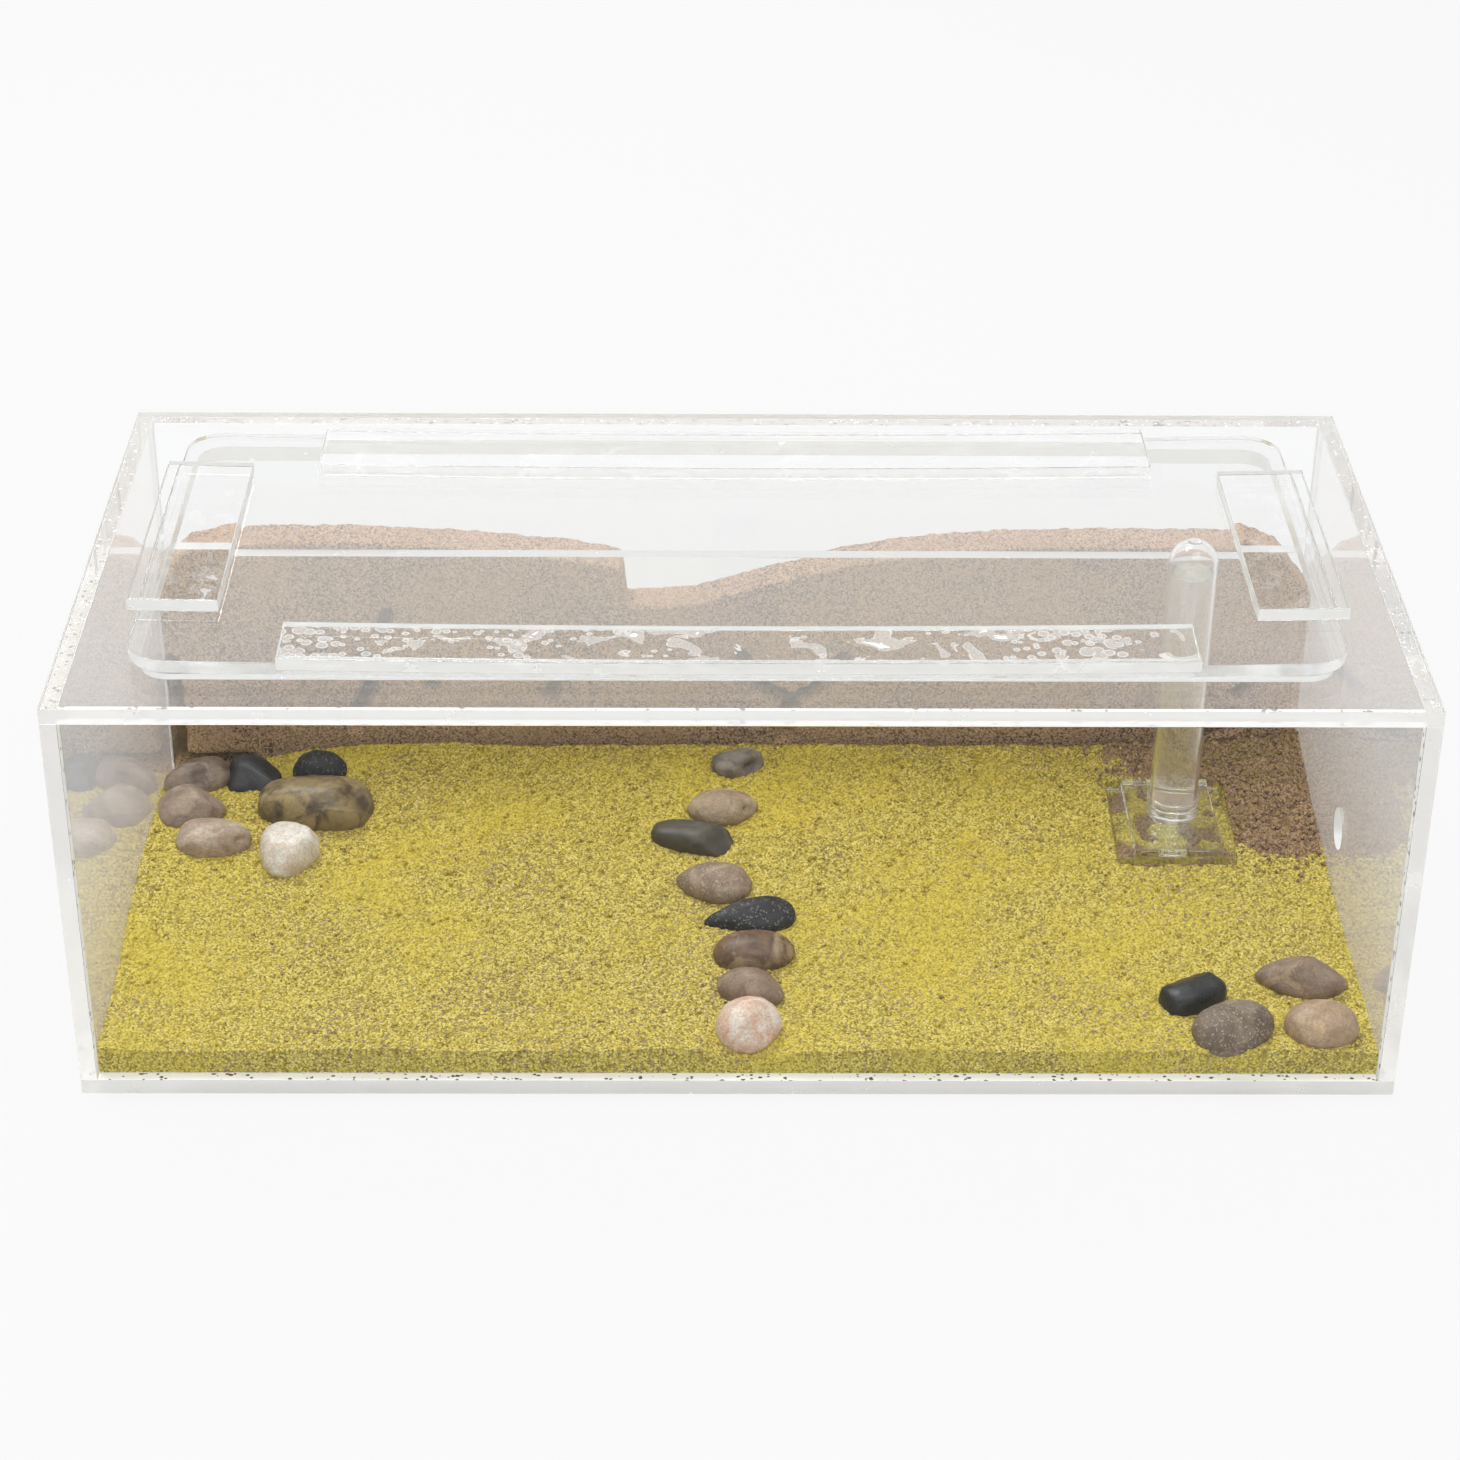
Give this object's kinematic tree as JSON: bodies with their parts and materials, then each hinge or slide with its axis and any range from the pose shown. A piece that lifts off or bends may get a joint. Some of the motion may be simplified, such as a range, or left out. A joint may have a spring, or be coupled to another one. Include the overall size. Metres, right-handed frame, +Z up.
{
  "type": "ant habitat",
  "caption": "Clear acrylic ant habitat: a thin sand nest behind a divider, a sand arena with pebbles and an upturned tube feeder, and a lift-off lid.",
  "frame": {"origin": "middle of the box's underside", "axes": "+X along the box's length towards the tube port, +Y from the front panel to the nest, +Z up"},
  "size_m": [0.4, 0.195, 0.1464],
  "materials": {
    "clear_acrylic": "gloss",
    "nest_sand": "matte",
    "arena_sand": "matte",
    "dug_out_sand": "matte",
    "tube_plastic": "gloss",
    "plug_plastic": "satin",
    "feeder_liquid": "gloss",
    "pebble_01": "polished",
    "pebble_02": "satin",
    "pebble_03": "satin",
    "pebble_04": "polished",
    "pebble_05": "satin",
    "pebble_06": "satin",
    "pebble_07": "satin",
    "pebble_08": "satin",
    "pebble_09": "satin",
    "pebble_10": "satin",
    "pebble_11": "satin",
    "pebble_12": "satin",
    "pebble_13": "satin",
    "pebble_14": "satin",
    "pebble_15": "satin",
    "pebble_16": "polished",
    "pebble_17": "satin",
    "pebble_18": "satin",
    "pebble_19": "satin"
  },
  "bodies": {
    "box": {"bottom_panel": "clear_acrylic", "front_panel": "clear_acrylic", "rear_panel": "clear_acrylic", "left_wall": "clear_acrylic", "right_wall": "clear_acrylic", "top_panel": "clear_acrylic", "nest_divider": "clear_acrylic", "nest_sand": "nest_sand", "arena_sand": "arena_sand", "dug_out_sand": "dug_out_sand", "feeder_foot": "clear_acrylic", "feeder_dish": "clear_acrylic", "pebble_01": "pebble_01", "pebble_02": "pebble_02", "pebble_03": "pebble_03", "pebble_04": "pebble_04", "pebble_05": "pebble_05", "pebble_06": "pebble_06", "pebble_07": "pebble_07", "pebble_08": "pebble_08", "pebble_09": "pebble_09", "pebble_10": "pebble_10", "pebble_11": "pebble_11", "pebble_12": "pebble_12", "pebble_13": "pebble_13", "pebble_14": "pebble_14", "pebble_15": "pebble_15", "pebble_16": "pebble_16", "pebble_17": "pebble_17", "pebble_18": "pebble_18", "pebble_19": "pebble_19"},
    "lid": {"lid_sheet": "clear_acrylic", "front_strip": "clear_acrylic", "rear_strip": "clear_acrylic", "left_grip": "clear_acrylic", "right_grip": "clear_acrylic"},
    "feeder": {"feeder_tube": "tube_plastic", "feeder_plug": "plug_plastic", "feeder_liquid": "feeder_liquid"}
  },
  "joints": [
    {"name": "lid_lift", "type": "slide", "parent": "box", "child": "lid", "axis": [0, 0, 1], "range_m": [0, 0.06]},
    {"name": "feeder_lift", "type": "slide", "parent": "box", "child": "feeder", "axis": [0, 0, 1], "range_m": [0, 0.012]}
  ]
}
